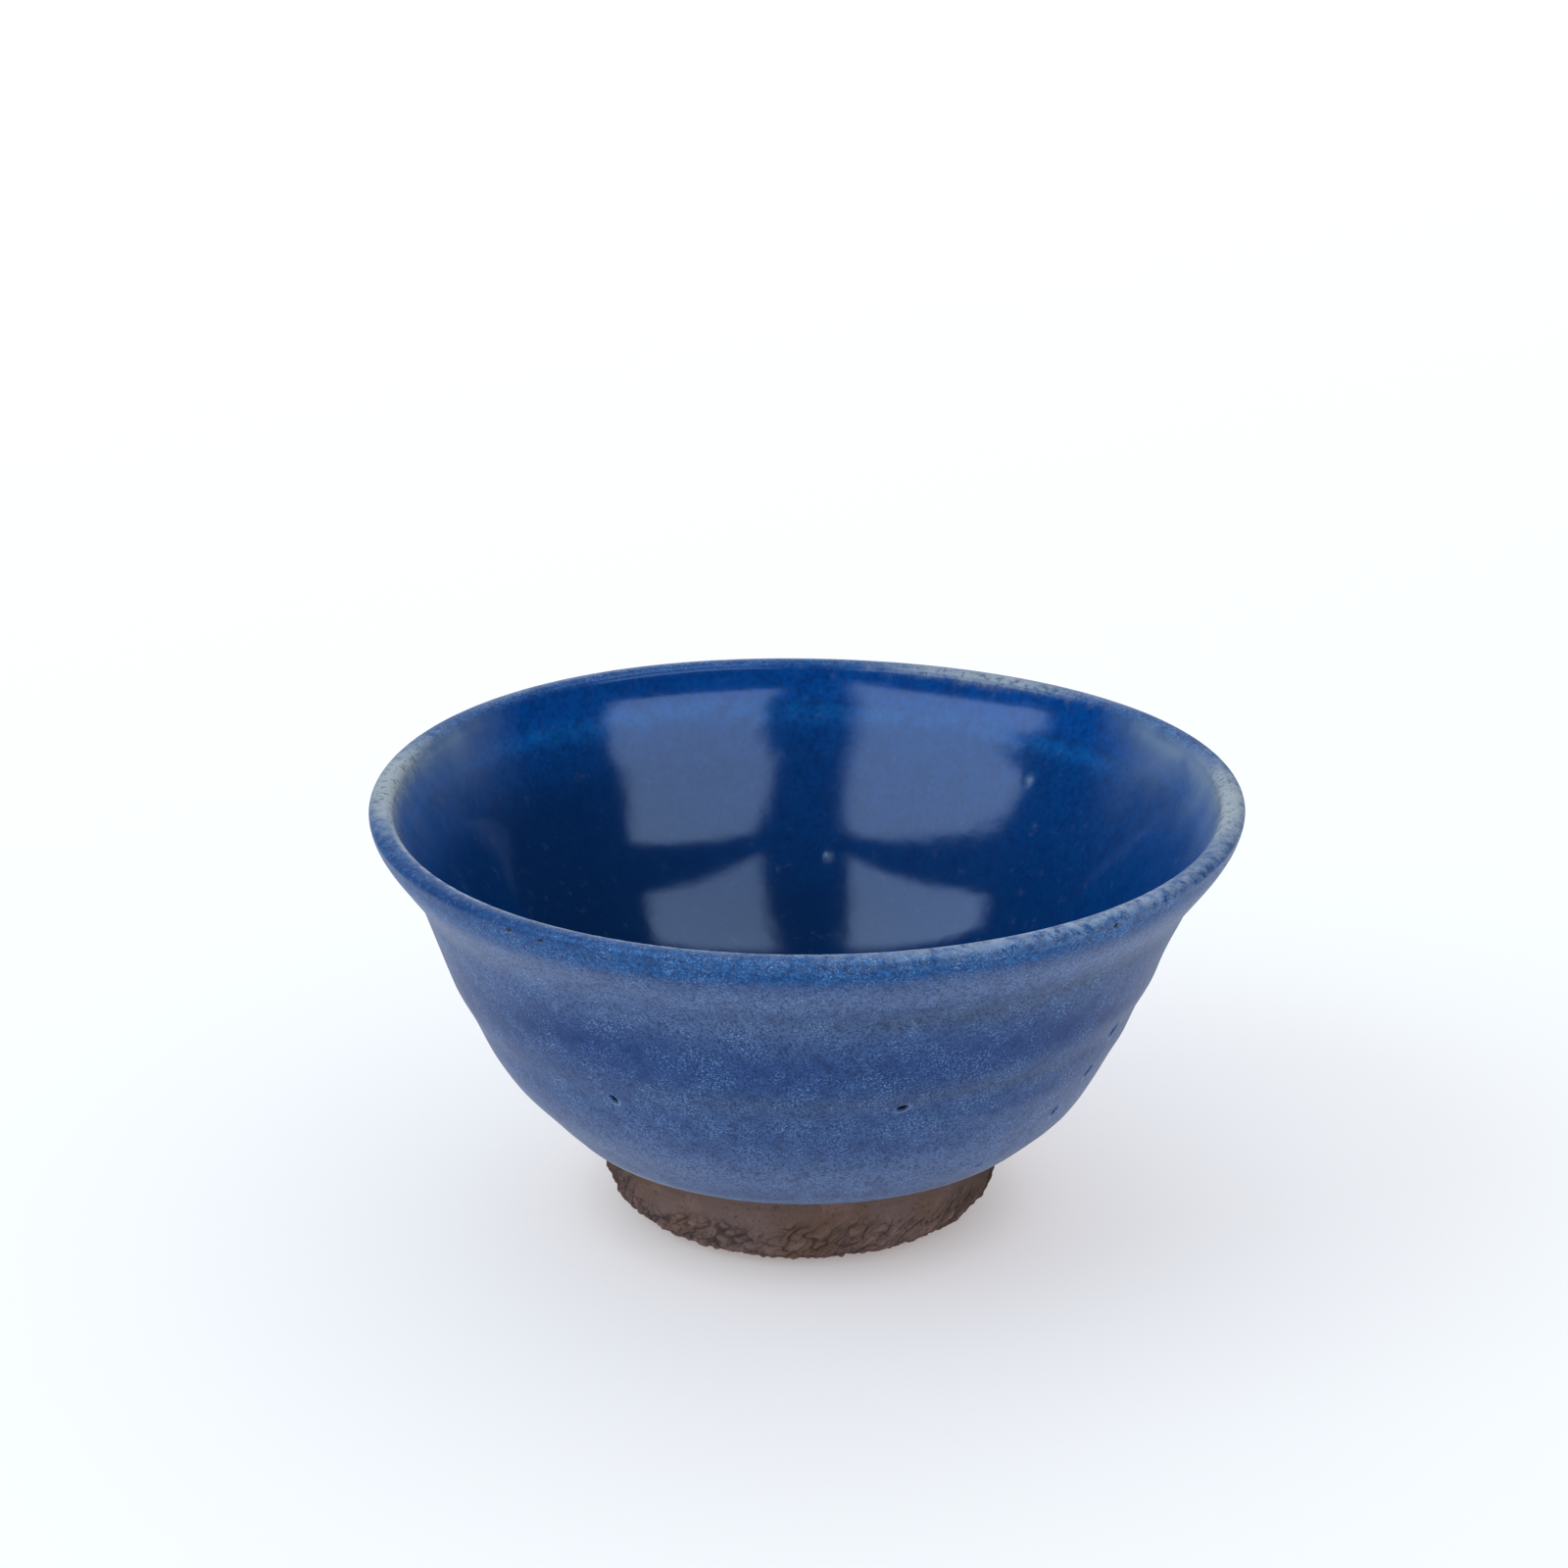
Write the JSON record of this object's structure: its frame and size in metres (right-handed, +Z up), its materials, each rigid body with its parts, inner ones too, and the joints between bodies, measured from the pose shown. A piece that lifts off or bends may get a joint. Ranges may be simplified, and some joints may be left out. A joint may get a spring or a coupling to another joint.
{
  "type": "gongfu tea cup",
  "caption": "Small flared stoneware tea cup, satin blue glaze outside and glossy blue inside, with a thin pale lip and a bare turned foot ring; holds tea and stands on a table.",
  "frame": {"origin": "centre of the foot ring's resting face", "axes": "+Z up along the cup's axis, from the foot to the lip; -Y faces the camera of the picture, +X is to its right"},
  "size_m": [0.08, 0.08, 0.0403],
  "materials": {
    "bowl_clay": "matte",
    "foot_clay": "matte",
    "satin_glaze": "satin",
    "gloss_glaze": "gloss",
    "lip_glaze": "gloss"
  },
  "bodies": {
    "root": {"clay_bowl": "bowl_clay", "foot_ring": "foot_clay", "outer_glaze": "satin_glaze", "inner_glaze": "gloss_glaze", "rim_glaze": "lip_glaze"}
  },
  "joints": []
}
